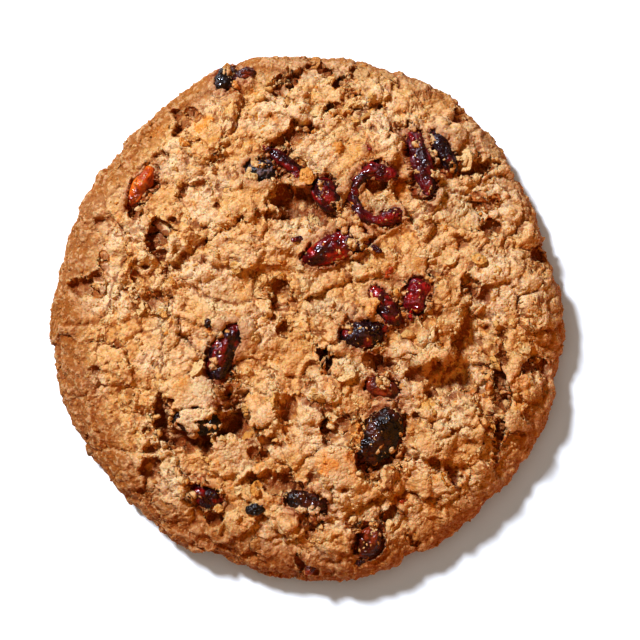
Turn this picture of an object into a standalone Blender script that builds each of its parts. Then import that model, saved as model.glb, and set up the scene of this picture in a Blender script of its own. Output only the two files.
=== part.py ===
"""Oatmeal raisin cookie: one baked piece of dough with raisins and dried cranberries sitting in it.

Units are metres. +Z is up, and the origin is the centre of the flat underside, which the cookie
rests on. Places on the cookie are (east, north) pairs in millimetres, east along +X and north along
+Y, because a cookie's crags are a few millimetres wide.
"""

import math
from dataclasses import dataclass

import bpy
import numpy as np
from mathutils.geometry import delaunay_2d_cdt

MM = 0.001

# The dough as it spread in the oven: a low dome on a flat underside.
CROWN_HEIGHT = 12.4
WIDEST_HEIGHT = 3.4
UNDERCUT = 3.2
DOME_POWER = 3.6
EDGE_POWER = 1.9

# The net of faces over the dough: its spacing, how much wider it is around the edge, and the share of
# the reach where the net of the top gives way to rings, which run over the edge to the underside.
SPACING = 1.89
EDGE_SPACING = 1.45
INNER_RING = 0.95
EDGE_RINGS = (INNER_RING, 1.0, 1.45, 2.0)
INSIDE_OF_RING = 1
MERGE_GAP = 1e-7

# Reach of the edge from the centre, in millimetres, at bearings in degrees from east.
OUTLINE = (
    (0, 45.0), (12, 44.2), (30, 44.3), (45, 45.2), (57, 46.4), (72, 46.2), (90, 46.0),
    (105, 46.6), (122, 45.5), (135, 44.5), (152, 44.7), (167, 44.5), (180, 45.0), (200, 45.0),
    (222, 44.6), (240, 45.4), (252, 44.6), (265, 45.2), (278, 46.2), (293, 45.7), (312, 45.3),
    (332, 45.5), (350, 45.1),
)

# Clumps of dough, as large as a spoon's edge breaks them, at slightly different levels.
CLUMP_SIZE = 7.0
CLUMP_STEP = 1.7
CLUMP_SEAM = 0.6
CLUMP_ROUNDING = 2.2
CLUMP_SHAKE = 0.38
CLUMP_REACH = 50.0
CLUMP_SEED = 11

# Waves that bend the seams between clumps: how far, waves in radians for each millimetre, and start.
EAST_WAVES = ((0.9, 0.9, 1.3), (0.6, 1.9, 0.9))
NORTH_WAVES = ((0.9, 0.8, 2.1), (0.6, 1.7, 0.4))

# Near the edge the dough flows smoother: where that starts, and the share of the clumps that it loses.
SMOOTH_RIM = 0.84
RIM_LOSS = 0.75

# Crags fade out over this height above the widest line.
CRAG_FADE = 3.0

# Mounds of dough: east, north, radius, rise. Their sides are steeper than their tops by this much.
MOUND_STEEPNESS = 1.5
MOUNDS = (
    (-18.2, -14.5, 5.8, 1.7), (-8.0, 11.5, 7.0, 0.9), (-22.0, 13.5, 4.2, 0.8), (-29.5, 12.0, 4.2, 0.6),
    (-9.5, 20.0, 6.0, 1.1), (3.0, -2.5, 5.6, 1.3), (4.0, -11.5, 5.0, 0.9), (-7.0, -18.5, 5.2, 0.8),
    (20.0, -5.0, 5.5, 1.3), (36.5, -11.5, 4.6, 1.2), (29.0, -19.0, 4.5, 0.9), (36.0, -18.5, 3.4, 0.7),
    (21.5, -22.0, 4.6, 0.8), (5.0, -26.0, 4.8, 1.0), (-17.0, 30.0, 5.0, 0.8), (12.5, 29.0, 5.4, 0.8),
    (-22.0, -30.0, 5.0, 0.7), (-11.0, -38.0, 5.5, 0.6), (5.0, -38.0, 4.6, 0.8), (-5.0, 37.0, 6.0, 0.7),
    (11.5, 39.0, 3.4, 0.6), (28.0, 30.0, 5.0, 0.6), (33.0, 8.0, 5.5, 0.6), (-33.0, -10.0, 6.0, 0.5),
)

# Hollows between the clumps: width, depth, and the (east, north) points that each one runs through.
# A hollow is half as wide and deep at its ends, and its lip adds this much to its width.
HOLLOW_LIP = 1.0
HOLLOWS = (
    (6.0, 2.9, ((-5.0, 17.5), (0.0, 17.5), (5.5, 18.0))),
    (3.0, 1.5, ((-14.5, 15.0), (-9.0, 16.6), (-4.0, 17.0))),
    (2.6, 1.5, ((-25.7, 16.0), (-25.6, 12.0), (-24.5, 8.0))),
    (3.0, 1.4, ((-23.5, 7.5), (-20.0, 9.0), (-16.0, 13.0))),
    (3.6, 1.8, ((-6.0, 5.5), (-4.5, 2.5), (-3.5, -2.0))),
    (2.6, 1.8, ((-24.0, 35.0), (-22.0, 34.0), (-22.5, 30.5))),
    (3.6, 1.7, ((5.5, 40.5), (7.5, 38.6), (9.5, 38.8))),
    (3.0, 2.1, ((2.5, 35.8), (5.0, 35.0), (9.0, 35.2), (14.5, 36.2))),
    (2.4, 1.6, ((15.5, 34.0), (17.5, 33.0), (18.5, 32.2))),
    (2.2, 1.7, ((26.0, 25.3), (30.0, 25.8), (34.0, 26.2))),
    (2.6, 1.5, ((-41.0, 4.8), (-38.0, 5.4), (-36.2, 6.8))),
    (5.4, 2.5, ((27.0, 3.0), (27.5, -4.0), (26.5, -8.5), (22.0, -10.3), (17.5, -9.6))),
    (2.6, 2.0, ((33.4, -3.0), (32.2, -9.0), (32.6, -16.0), (32.2, -26.0))),
    (2.8, 1.7, ((23.5, -25.0), (25.2, -27.2), (27.2, -26.0))),
    (3.4, 3.0, ((1.8, -6.6), (4.8, -7.5), (8.0, -7.2))),
    (3.0, 2.3, ((9.5, -7.6), (12.5, -8.7), (15.8, -9.8))),
    (2.6, 1.3, ((0.8, -18.4), (4.0, -19.0), (7.0, -17.6))),
    (3.0, 2.2, ((17.0, -21.5), (15.5, -24.8), (11.5, -26.0))),
    (3.6, 3.0, ((-24.0, -13.8), (-24.6, -18.0), (-20.0, -20.2), (-14.8, -20.0), (-12.2, -16.5),
                (-12.0, -12.0))),
    (2.6, 2.0, ((-27.2, -21.0), (-27.0, -25.5), (-28.6, -30.5))),
    (3.2, 1.7, ((-12.0, -29.0), (-6.0, -28.2), (1.0, -28.8))),
    (2.8, 1.4, ((-3.5, -36.0), (0.0, -36.2), (3.0, -35.2))),
    (3.0, 2.0, ((-1.8, -40.0), (-1.0, -43.0), (1.5, -45.0))),
    (2.4, 1.4, ((39.0, 6.5), (40.0, 9.0), (42.0, 11.2))),
)


@dataclass(frozen=True)
class Fruit:
    """A raisin or a piece of dried cranberry: a plump strip, tapered at both ends, which may curl.

    The waist is the share by which its middle is narrower than its ends.
    """

    name: str
    kind: str
    east: float
    north: float
    length: float
    width: float
    bearing: float
    curl: float = 0.0
    thick: float = 3.6
    lift: float = -0.6
    wrinkle: float = 0.12
    waist: float = 0.0


FRUITS = (
    Fruit("raisin_top_edge", "raisin", -14.1, 41.6, 5.6, 3.9, 62, thick=3.4),
    Fruit("raisin_floury", "raisin", -8.3, 24.7, 5.4, 4.0, 8),
    Fruit("raisin_left", "raisin", -14.3, -6.2, 10.6, 4.8, 68, curl=-40, thick=4.0),
    Fruit("raisin_capped", "raisin", -18.8, -18.2, 8.4, 4.6, -8, lift=0.0),
    Fruit("raisin_large", "raisin", 12.2, -20.5, 10.6, 7.2, 58, curl=25, thick=4.8),
    Fruit("raisin_paired", "raisin", 9.3, -3.3, 7.2, 5.2, 12, curl=-25, thick=4.4),
    Fruit("raisin_sheltered", "raisin", 12.9, -12.5, 6.2, 4.0, -18, lift=-0.9),
    Fruit("raisin_south", "raisin", 0.0, -32.0, 7.2, 4.4, -14, curl=35),
    Fruit("raisin_low_edge", "raisin", 10.5, -38.9, 5.8, 5.0, 70),
    Fruit("cranberry_amber", "cranberry", -28.4, 22.4, 8.4, 3.4, 62),
    Fruit("cranberry_strip", "cranberry", -3.6, 26.1, 7.8, 2.3, -38, thick=3.0),
    Fruit("cranberry_shaded", "cranberry", 3.2, 20.7, 6.4, 4.7, 114, lift=-0.8),
    Fruit(
        "cranberry_curled", "cranberry", 7.7, 19.8, 22.6, 4.8, -84,
        curl=292, thick=4.4, waist=0.62,
    ),
    Fruit("cranberry_split", "cranberry", 19.7, 26.0, 12.6, 4.0, 104, curl=10, thick=4.2),
    Fruit("cranberry_split_half", "cranberry", 23.3, 28.2, 8.6, 3.1, 118, thick=3.8),
    Fruit("cranberry_glossy", "cranberry", 5.0, 11.9, 12.6, 5.2, 20, curl=-45, thick=4.4),
    Fruit("cranberry_square", "cranberry", 18.6, 3.2, 5.8, 4.7, 72),
    Fruit("cranberry_paired", "cranberry", 13.3, 1.4, 8.2, 3.8, -54, thick=3.8),
    Fruit("cranberry_dull", "cranberry", -17.2, -30.9, 5.6, 3.4, -28, lift=-0.9),
)
FRUIT_RINGS = 8
FRUIT_SIDES = 8
CURL_PER_RING = 40.0
CREASES = 3
TIP_POWER = 0.75
POCKET_GAP = 0.3
SURFACE_COLOURS = {
    "dough": ((0.62, 0.33, 0.13, 1.0), 0.85),
    "raisin": ((0.045, 0.014, 0.012, 1.0), 0.35),
    "cranberry": ((0.16, 0.012, 0.014, 1.0), 0.28),
}


def clear_scene():
    for old in list(bpy.data.objects):
        bpy.data.objects.remove(old)


def smooth_step(share):
    share = np.clip(share, 0.0, 1.0)
    return share * share * (3.0 - 2.0 * share)


def reach(bearing):
    """Distance from the centre to the edge, in millimetres, at bearings in radians."""
    degrees = np.degrees(bearing) % 360.0
    angles = np.array([point[0] for point in OUTLINE] + [360.0])
    reaches = np.array([point[1] for point in OUTLINE] + [OUTLINE[0][1]])
    after = np.clip(np.searchsorted(angles, degrees, side="right"), 1, len(OUTLINE))
    share = (degrees - angles[after - 1]) / (angles[after] - angles[after - 1])
    return reaches[after - 1] + (reaches[after] - reaches[after - 1]) * smooth_step(share)


def dome(share):
    """Height of the smooth top at a share of the reach, from 0 at the centre to 1 at the edge."""
    rise = np.clip(1.0 - np.clip(share, 0.0, 1.0) ** DOME_POWER, 0.0, 1.0) ** (1.0 / EDGE_POWER)
    return WIDEST_HEIGHT + (CROWN_HEIGHT - WIDEST_HEIGHT) * rise


def distance_to_line(east, north, points):
    """Distance from each place to a line through points, and the share of the line at the nearest."""
    corners = np.array(points)
    runs = np.linalg.norm(np.diff(corners, axis=0), axis=1)
    nearest = np.full(east.shape, np.inf)
    along = np.zeros(east.shape)
    before = 0.0
    for start, end, run in zip(corners[:-1], corners[1:], runs):
        step = (end - start) / run
        travel = np.clip((east - start[0]) * step[0] + (north - start[1]) * step[1], 0.0, run)
        gap = np.hypot(east - start[0] - travel * step[0], north - start[1] - travel * step[1])
        closer = gap < nearest
        nearest = np.where(closer, gap, nearest)
        along = np.where(closer, (before + travel) / runs.sum(), along)
        before += run
    return nearest, along


def clump_centres():
    """Centre and level of each clump, on a shaken grid of hexagons that covers the cookie."""
    shake = np.random.default_rng(CLUMP_SEED)
    row_gap = CLUMP_SIZE * math.sqrt(0.75)
    centres = []
    for row in range(int(2 * CLUMP_REACH / row_gap) + 1):
        north = -CLUMP_REACH + row * row_gap
        for column in range(int(2 * CLUMP_REACH / CLUMP_SIZE) + 1):
            east = -CLUMP_REACH + (column + 0.5 * (row % 2)) * CLUMP_SIZE
            moved = shake.uniform(-CLUMP_SHAKE, CLUMP_SHAKE, 2) * CLUMP_SIZE
            centres.append((east + moved[0], north + moved[1], shake.uniform(-0.5, 0.5)))
    return np.array(centres)


def waves(along, parts):
    """Sum of a few waves at places along a line."""
    return sum(size * np.sin(rate * along + start) for size, rate, start in parts)


def clumps(east, north):
    """Level of the clump that each place belongs to, rounded off towards its neighbours."""
    centres = clump_centres()
    bent_east = east + waves(north, EAST_WAVES)
    bent_north = north + waves(east, NORTH_WAVES)
    away = np.hypot(bent_east[:, None] - centres[:, 0], bent_north[:, None] - centres[:, 1])
    order = np.argsort(away, axis=1)[:, :2]
    first, second = np.take_along_axis(away, order, axis=1).T
    inside = smooth_step((second - first) / CLUMP_ROUNDING)
    level = centres[order[:, 0], 2] * inside
    return CLUMP_STEP * level - CLUMP_SEAM * (1.0 - inside)


def relief(east, north, share):
    """How far the baked surface stands above the smooth dome, in millimetres."""
    height = clumps(east, north) * (1.0 - RIM_LOSS * smooth_step((share - SMOOTH_RIM) / (1.0 - SMOOTH_RIM)))
    for mound_east, mound_north, radius, rise in MOUNDS:
        near = 1.0 - np.hypot(east - mound_east, north - mound_north) / radius
        height += rise * smooth_step(near * MOUND_STEEPNESS)
    sunk = np.zeros(east.shape)
    for width, depth, points in HOLLOWS:
        gap, along = distance_to_line(east, north, points)
        taper = 0.5 + 0.5 * np.clip(4.0 * along * (1.0 - along), 0.0, 1.0) ** 0.25
        slope = 0.5 * (width * taper + HOLLOW_LIP)
        sunk = np.maximum(sunk, depth * taper * (1.0 - smooth_step(gap / slope)))
    return height - sunk


def new_object(name, vertices, faces, look):
    """An object at the origin whose mesh is given in millimetres."""
    mesh = bpy.data.meshes.new(name)
    mesh.from_pydata([tuple(MM * value for value in vertex) for vertex in vertices], [], faces)
    mesh.materials.append(material(look))
    made = bpy.data.objects.new(name, mesh)
    bpy.context.scene.collection.objects.link(made)
    return made


def material(look):
    found = bpy.data.materials.get(look)
    if found:
        return found
    colour, roughness = SURFACE_COLOURS[look]
    made = bpy.data.materials.new(look)
    made.use_nodes = True
    shader = made.node_tree.nodes["Principled BSDF"]
    shader.inputs["Base Color"].default_value = colour
    shader.inputs["Roughness"].default_value = roughness
    shader.inputs["Metallic"].default_value = 0.0
    return made


def sheet_points():
    """Places of a flat sheet that wraps over the dome and under the edge, as (bearing, share).

    Share runs from 0 at the centre through 1 at the widest line to 2 where the underside starts.
    """
    bearings, shares = [], []
    mean_reach = sum(point[1] for point in OUTLINE) / len(OUTLINE)
    row_gap = SPACING * math.sqrt(0.75)
    rows = int(mean_reach / row_gap) + 1
    for row in range(-rows, rows + 1):
        north = row * row_gap
        for column in range(-rows, rows + 1):
            east = (column + 0.5 * (row % 2)) * SPACING
            share = math.hypot(east, north) / mean_reach
            if share < INNER_RING - 0.5 * SPACING / mean_reach:
                bearings.append(math.atan2(north, east))
                shares.append(share)
    around = int(2 * math.pi * mean_reach / (SPACING * EDGE_SPACING))
    for ring, share in enumerate(EDGE_RINGS):
        for step in range(around):
            bearings.append(2 * math.pi * (step + 0.5 * (ring % 2)) / around)
            shares.append(share)
    return np.array(bearings), np.array(shares), around


def dough_surface(bearings, shares):
    """East, north and height of sheet places, with the crags on the top and the edge."""
    top = np.clip(shares, 0.0, 1.0)
    under = np.clip(shares - 1.0, 0.0, 1.0)
    edge = reach(bearings)
    distance = edge * top - UNDERCUT * (1.0 - np.cos(0.5 * math.pi * under))
    east, north = distance * np.cos(bearings), distance * np.sin(bearings)
    height = np.where(under > 0.0, WIDEST_HEIGHT * (1.0 - np.sin(0.5 * math.pi * under)), dome(top))
    on_top = np.clip((height - WIDEST_HEIGHT) / CRAG_FADE, 0.0, 1.0)
    return east, north, height + on_top * relief(east, north, top)


def make_dough():
    """The dough in one piece: a net of triangles over the sheet's places, closed by a flat underside."""
    bearings, shares, around = sheet_points()
    flat = np.stack([shares * np.cos(bearings), shares * np.sin(bearings)], axis=1).tolist()
    last = list(range(len(flat) - around, len(flat)))
    triangles = delaunay_2d_cdt(flat, [], [last], INSIDE_OF_RING, MERGE_GAP)[2]
    east, north, height = dough_surface(bearings, shares)
    vertices = np.stack([east, north, height], axis=1)
    underside = tuple(reversed(last))
    return new_object("dough", vertices, [tuple(face) for face in triangles] + [underside], "dough")


def top_height(east, north, crags):
    """Height of the top at some places, with the given share of its crags."""
    share = np.hypot(east, north) / reach(np.arctan2(north, east))
    return dome(share) + crags * relief(east, north, share)


def middle_line(fruit, shares):
    """East, north and heading along a fruit's middle, at shares from -1 to 1. A curled one is an arc."""
    middle = math.radians(fruit.bearing)
    turn = math.radians(fruit.curl)
    headings = middle + 0.5 * turn * shares
    if fruit.curl == 0.0:
        along = 0.5 * fruit.length * shares
        return fruit.east + along * np.cos(headings), fruit.north + along * np.sin(headings), headings
    radius = fruit.length / turn
    east = fruit.east + radius * (np.sin(headings) - math.sin(middle))
    north = fruit.north - radius * (np.cos(headings) - math.cos(middle))
    return east, north, headings


def seat(fruit):
    """Height of a fruit's middle above the smooth dome: the mean of the crags along it, plus its lift."""
    east, north, _ = middle_line(fruit, np.linspace(-0.7, 0.7, 7))
    return float(np.mean(top_height(east, north, 1.0) - top_height(east, north, 0.0))) + fruit.lift


def fruit_shape(fruit, grow):
    """Vertices and faces of a fruit, creased along its length, and made larger all round by grow."""
    rings = FRUIT_RINGS + int(abs(fruit.curl) / CURL_PER_RING)
    steps = math.pi * np.arange(rings + 1) / rings
    shares = -np.cos(steps)
    east, north, headings = middle_line(fruit, shares)
    east += grow * shares * np.cos(headings)
    north += grow * shares * np.sin(headings)
    levels = seat(fruit) + top_height(east, north, 0.0)
    phase = sum(ord(letter) for letter in fruit.name)
    vertices = [(east[0], north[0], levels[0])]
    for ring in range(1, rings):
        girth = math.sin(steps[ring]) ** TIP_POWER
        across_share = girth * (1.0 - fruit.waist * (1.0 - shares[ring] ** 2))
        for side in range(FRUIT_SIDES):
            turn = 2 * math.pi * side / FRUIT_SIDES
            crease = 1.0 + fruit.wrinkle * girth * math.sin(CREASES * turn + 0.9 * ring + phase)
            across = (0.5 * fruit.width * crease * across_share + grow) * math.cos(turn)
            up = (0.5 * fruit.thick * crease * girth + grow) * math.sin(turn)
            vertices.append(
                (
                    east[ring] - across * math.sin(headings[ring]),
                    north[ring] + across * math.cos(headings[ring]),
                    levels[ring] + up,
                )
            )
    vertices.append((east[-1], north[-1], levels[-1]))
    return vertices, fruit_faces(rings)


def fruit_faces(rings):
    """Two fans at the tips, and strips of quads between the rings."""
    final = 1 + (rings - 1) * FRUIT_SIDES
    faces = []
    for side in range(FRUIT_SIDES):
        following = (side + 1) % FRUIT_SIDES
        faces.append((0, 1 + following, 1 + side))
        for ring in range(rings - 2):
            low, high = 1 + ring * FRUIT_SIDES, 1 + (ring + 1) * FRUIT_SIDES
            faces.append((low + side, low + following, high + following, high + side))
        faces.append((final - FRUIT_SIDES + side, final - FRUIT_SIDES + following, final))
    return faces


def make_fruits():
    """Each fruit, and the hidden cutter that leaves its pocket in the dough."""
    cutters = bpy.data.collections.new("pocket_cutters")
    bpy.context.scene.collection.children.link(cutters)
    for fruit in FRUITS:
        made = new_object(fruit.name, *fruit_shape(fruit, 0.0), fruit.kind)
        made.data.shade_smooth()
        cutter = new_object("pocket_" + fruit.name, *fruit_shape(fruit, POCKET_GAP), "dough")
        bpy.context.scene.collection.objects.unlink(cutter)
        cutters.objects.link(cutter)
        cutter.hide_render = True
        cutter.display_type = "WIRE"
    return cutters


def cut_pockets(dough, cutters):
    """Takes each fruit's pocket out of the dough, one after the other."""
    for cutter in cutters.objects:
        cut = dough.modifiers.new(cutter.name, "BOOLEAN")
        cut.operation = "DIFFERENCE"
        cut.solver = "EXACT"
        cut.object = cutter


clear_scene()
cookie_dough = make_dough()
cut_pockets(cookie_dough, make_fruits())
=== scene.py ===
"""Looks of an oatmeal raisin cookie: baked oat dough with raisins and dried cranberries in its top.

Places on the cookie are (east, north) in millimetres from its centre, east along +X, north along +Y.
"""

import math

import bmesh
import bpy
import numpy as np
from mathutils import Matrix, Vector, noise
from mathutils.bvhtree import BVHTree


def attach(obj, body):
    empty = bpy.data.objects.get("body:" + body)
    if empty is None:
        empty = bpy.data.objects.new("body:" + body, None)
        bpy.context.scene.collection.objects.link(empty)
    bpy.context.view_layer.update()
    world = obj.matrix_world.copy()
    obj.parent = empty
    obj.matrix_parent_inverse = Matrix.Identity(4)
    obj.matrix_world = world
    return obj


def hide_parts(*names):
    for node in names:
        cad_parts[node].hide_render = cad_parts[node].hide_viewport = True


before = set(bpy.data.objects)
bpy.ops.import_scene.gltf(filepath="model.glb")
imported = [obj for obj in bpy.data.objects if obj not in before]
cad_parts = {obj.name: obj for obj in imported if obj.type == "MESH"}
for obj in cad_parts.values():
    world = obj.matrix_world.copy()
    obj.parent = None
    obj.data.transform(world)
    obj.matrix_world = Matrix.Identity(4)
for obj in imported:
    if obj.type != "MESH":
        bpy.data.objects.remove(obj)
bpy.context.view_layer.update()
scene = bpy.context.scene

# ---------------------------------------------------------------------------------------------
# Dough: oats, flour, butter and brown sugar, dropped from a spoon and baked flat on a sheet. It
# spreads into a low dome with a sandy rim, and its middle cracks into ragged plates as it sets.
# ---------------------------------------------------------------------------------------------

MM = 0.001
PUSH_SEED = 3
noise.seed_set(PUSH_SEED)

# The dome: heights and undercut in millimetres, the powers that square its profile, and the rings
# of the flat underside, each as a share of its reach with a number of corners.
CROWN_HEIGHT = 12.4
WIDEST_HEIGHT = 3.4
UNDERCUT = 3.2
DOME_POWER = 4.4
EDGE_POWER = 1.9
RINGS = 172
UNDER_RINGS = ((0.985, 480), (0.96, 240), (0.92, 120), (0.8, 84), (0.6, 60), (0.4, 36), (0.2, 12), (0.0, 1))

# The smooth rim, as shares of the reach: where it starts and how softly, and how much further in
# and how much softer it is on its widest side. Browning starts further in there too.
SMOOTH_SIDE = math.radians(200.0)
RIM_START, RIM_WIDER = 0.985, 0.06
RIM_BLEND, RIM_SOFTER = 0.05, 0.11
BROWN_START, BROWN_WIDER, BROWN_BLEND = 0.86, 0.08, 0.16

# How far borders run ragged, as (period, reach) in millimetres, and how mounds and cracks are cut.
RAGGED_LARGE, RAGGED_SMALL, RAGGED_LAP = (2.2, 1.6), (0.8, 0.6), (2.6, 1.0)
MOUND_GAIN = 1.7
LEE_EAST, LEE_NORTH = 0.66, -0.75
WALL_LEAST, WALL_SHARE = 0.5, 0.2
RAMP_LEAST, RAMP_SHARE = 0.5, 0.6
BARE_HEIGHT, RELIEF_FADE = 1.2, 4.0
HIGHEST_LUMP = 1.6

# Dough against fruit: how far below the fruit its bed lies, the lip round it, how far the dough
# laps over it and how thick, and the lumps on top.
BED_REACH = 2.5
BED_CLEARANCE = 0.75
LIP_HEIGHT, LIP_GAP, LIP_WIDTH = 0.35, 0.5, 0.9
LAP_REACH, LAP_RAGGED, LAP_BLEND = 0.22, 1.1, 0.4
LAP_THINNEST, LAP_THICKEST = 0.25, 0.8
RIM_RISE, RIM_LAP = 3.0, 0.4
CAP_GAIN = 1.3
HIGHEST_CAP = 13.8
STAIN_REACH = 1.5

# Mounds of dough: east, north, radius, rise.
MOUNDS = (
    (-19, -13.4, 6, 1.6), (-8, 11.5, 7, 0.7), (-22, 13.5, 4.2, 0.8), (-29.5, 12, 4.2, 0.6),
    (-9.5, 20, 6, 0.9), (3, -2.5, 5.6, 1.1), (4, -11.5, 5, 0.9), (-7, -18.5, 5.2, 0.8),
    (20, -5, 5.5, 1.1), (36.5, -11.5, 4.6, 1), (29, -19, 4.5, 0.8), (36, -18.5, 3.4, 0.7),
    (21.5, -22, 4.6, 0.8), (5, -26, 4.8, 0.9), (-17, 30, 5, 0.7), (12.5, 29, 5.4, 0.7),
    (-22, -30, 5, 0.6), (-11, -38, 5.5, 0.5), (5, -38, 4.6, 0.7), (-5, 37, 6, 0.6), (11.5, 39, 3.4, 0.5),
    (28, 30, 5, 0.5), (33, 8, 5.5, 0.5), (-33, -10, 6, 0.4), (22.5, 3.5, 4.6, 0.8),
)

# Cracks and hollows between the plates: width, depth, and the east and north of each point that
# they run through.
CRACKS = (
    (6.6, 3.9, -5.5, 19.2, -1, 19, 4.8, 18.5), (1.8, 1.5, -15.5, 14, -12, 15.3, -9, 16.2, -4, 17),
    (1.7, 1.9, -25.6, 16, -25.7, 12, -25, 8.5), (2.7, 1.6, -24, 7, -21, 8.5, -18.5, 11, -15.5, 13.5),
    (0.8, 0.8, -17, 20.5, -16, 18.5, -14, 16.5), (1.7, 1.8, -31.5, 19, -30.5, 17.8, -29, 18.5),
    (1.1, 0.9, -36.8, 14.5, -35.6, 15.6, -34, 18), (2.4, 1.7, -41, 4.5, -38, 5.3, -36, 6.8),
    (0.9, 0.8, -36, 9, -35, 10.5), (0.8, 0.9, -30, 5.8, -27, 8), (1, 0.7, -34, 2.6, -32, 3.7, -30, 4),
    (1.8, 1.8, -24, 35.3, -21.8, 34.5, -22, 31.5, -23, 30.5), (1.4, 1.2, -21.8, 35, -18.8, 35.8),
    (1.3, 1.2, -27, 25.5, -24.8, 29), (0.8, 0.8, -22, 27, -19.5, 26.2, -18.7, 25.3),
    (0.8, 0.8, -17, 27, -14.5, 27.8), (1.3, 1, -23.5, 21, -20, 21.8, -17, 23),
    (1.5, 1.3, -24.5, 17, -22, 16.3, -20, 16.3), (3.3, 1.9, -6, 5, -4, 0, -3, -3),
    (1.9, 1.3, -28.5, 2, -26, 2.2, -24.8, 1), (1, 0.9, -14, 30.4, -9, 30, -5, 30, -1, 31.5, 4, 31),
    (1.7, 1.6, -6.5, 40.7, -3.5, 40.5, -1.8, 42.5, -0.8, 43.3), (1.9, 1.3, 1, 43.5, 3.5, 43, 2.5, 42),
    (1.3, 1.3, 3.5, 40.8, 7, 41.2, 7.5, 43.5, 7.8, 45), (3.4, 1.8, 6, 39, 9, 38.5),
    (2.9, 2.5, 2.6, 35.9, 4.5, 35.2), (1.9, 1.6, 4.5, 35, 8, 34.5, 11, 36, 15, 35.8),
    (1, 1.3, 15.8, 42, 16, 40.3, 15.5, 39), (1.9, 1.4, 10.5, 33, 12.5, 32.3),
    (2.1, 1.7, 13.5, 31.5, 16, 31, 17, 33, 18.5, 32.2), (1.1, 1.3, 24.3, 35, 27, 35.3, 30, 34.7),
    (0.9, 1, 25, 34.8, 24.3, 32.8), (1.6, 2, 26.5, 25.3, 29, 25.7, 31, 25.8, 34.5, 26.3),
    (1, 0.9, 29.8, 22, 30, 20, 33, 20, 34.5, 18.5), (1.3, 1.3, 32, 16.5, 31.8, 14.5),
    (1.5, 1.1, 24.5, 14, 26.5, 12.8, 28.5, 13.7), (0.8, 0.8, 35.3, 14.5, 35.3, 10.5),
    (1.2, 1.2, 38, 6, 39.5, 8.5, 39.8, 9.5), (1.7, 1.5, 39.7, 11.5, 43, 11), (1, 1, 36.5, 4, 34.5, 0.5),
    (1, 1, 39.5, 2.5, 37.5, -1), (1.5, 1.3, 27, 3, 28.7, 4, 29.5, 1.5),
    (6.6, 3.3, 27.5, 2, 28, -4, 27.2, -8, 23, -10.5, 18, -9.8),
    (1.6, 2.1, 33.5, -1, 33, -6, 32, -9, 32.5, -14, 32.5, -19, 32.2, -26),
    (1, 1.1, 30, -9, 28.5, -12.5, 26, -14.5), (1.2, 1.4, 35, -9, 38, -8.3, 40.5, -9, 41, -11),
    (1.2, 0.9, 37.5, -15, 38, -18, 37.7, -21), (2.3, 1.8, 26, -24.5, 25, -27, 27, -26),
    (1.2, 1.2, 20.5, -25.5, 23, -25), (2, 1.2, 18, -17, 20.5, -18),
    (1, 1, 16.5, -11, 19, -12, 22, -12.5, 24.5, -14.2), (3, 3.1, 2, -6.8, 5, -7.5, 7.5, -7),
    (2.6, 2.5, 10, -7.5, 13, -8.6, 15.5, -9.8), (1.5, 1.4, 0.5, -18.3, 4, -19, 7, -17.5),
    (2.4, 2.1, 16.5, -22, 15.5, -24.5, 12, -26, 9.5, -25), (1.7, 1.8, 13, -34.3, 15.5, -34),
    (1, 1.2, 7, -34, 8.5, -35), (1.2, 1.2, 15, -37, 16.5, -36.5, 19, -39, 21, -39),
    (3.4, 3.6, -24.2, -13.5, -25.2, -17, -24, -19.6, -20, -21, -15, -21),
    (3.8, 3.8, -15, -20.6, -12.6, -18, -12.4, -14.5, -12.6, -12),
    (0.9, 1.1, -10.5, -10.5, -6, -10.3, -3.5, -10.8), (0.9, 0.9, -38.5, -9.5, -36, -9, -34, -8.3),
    (0.8, 0.9, -32, -8, -32, -10), (0.8, 0.9, -26, -8, -26, -9.5),
    (0.9, 1, -31.3, -14, -29, -15, -27.3, -17), (1.1, 1, -38.3, -20.3, -38.5, -22),
    (2.1, 2, -27.5, -20.5, -26.5, -24, -27.5, -27, -28.5, -31),
    (1.1, 0.9, -37, -24, -34, -27, -30.5, -29.5), (1.5, 1.5, -16, -34.5, -15.8, -36),
    (1.2, 1.1, -19.5, -39, -18, -39.8), (2.4, 1.7, -12.5, -29, -8, -28, -3, -28.3, 1, -28.8),
    (0.9, 0.9, -10, -23.5, -7, -23.3), (0.9, 0.8, -16, -24.8, -15, -24.3),
    (1.6, 1.2, -5, -14, -2.5, -15.5, -0.5, -14.7), (1.7, 1.5, -3, -36, 0, -36, 2.5, -35),
    (2.3, 2.2, -1.5, -41, -1, -43, 1.5, -45), (2, 1.7, 9.8, 22.9, 11.4, 22.4, 13.4, 22),
)

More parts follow.
